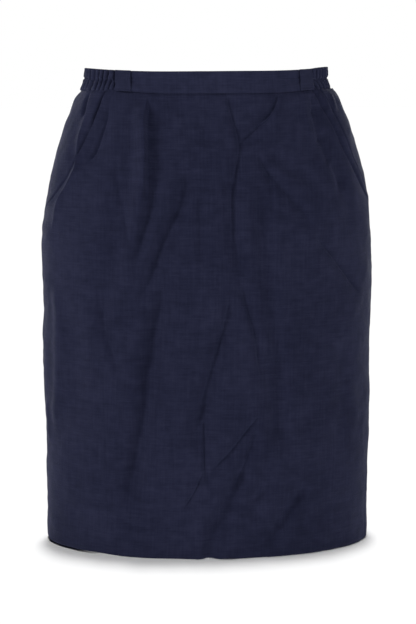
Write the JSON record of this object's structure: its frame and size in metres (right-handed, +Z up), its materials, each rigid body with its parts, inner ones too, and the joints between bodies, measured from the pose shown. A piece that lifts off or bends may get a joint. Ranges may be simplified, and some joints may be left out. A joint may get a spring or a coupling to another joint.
{
  "type": "straight skirt",
  "caption": "Knee-length straight pull-on skirt holding its worn, hollow form, with a flat front waistband, elastic sides and back, belt loops, slant pockets and soft front pleats.",
  "frame": {"origin": "on the skirt's upright axis, level with the top edge of the front waistband, where the wearer's waist holds it", "axes": "+Z up, the front faces -Y, +X is the wearer's left"},
  "size_m": [0.4306, 0.2829, 0.6162],
  "materials": {
    "panel_cloth": "navy plain weave with fine crosswise slubs and a faint sheen",
    "band_cloth": "the same navy cloth, doubled and pressed",
    "loop_cloth": "the same navy cloth, folded into strips"
  },
  "bodies": {
    "root": {"front_panel": "panel_cloth", "back_panel": "panel_cloth", "hip_panel_right": "panel_cloth", "hip_panel_left": "panel_cloth", "waistband_front": "band_cloth", "waistband_back": "band_cloth", "belt_loop_right": "loop_cloth", "belt_loop_left": "loop_cloth"}
  },
  "joints": []
}
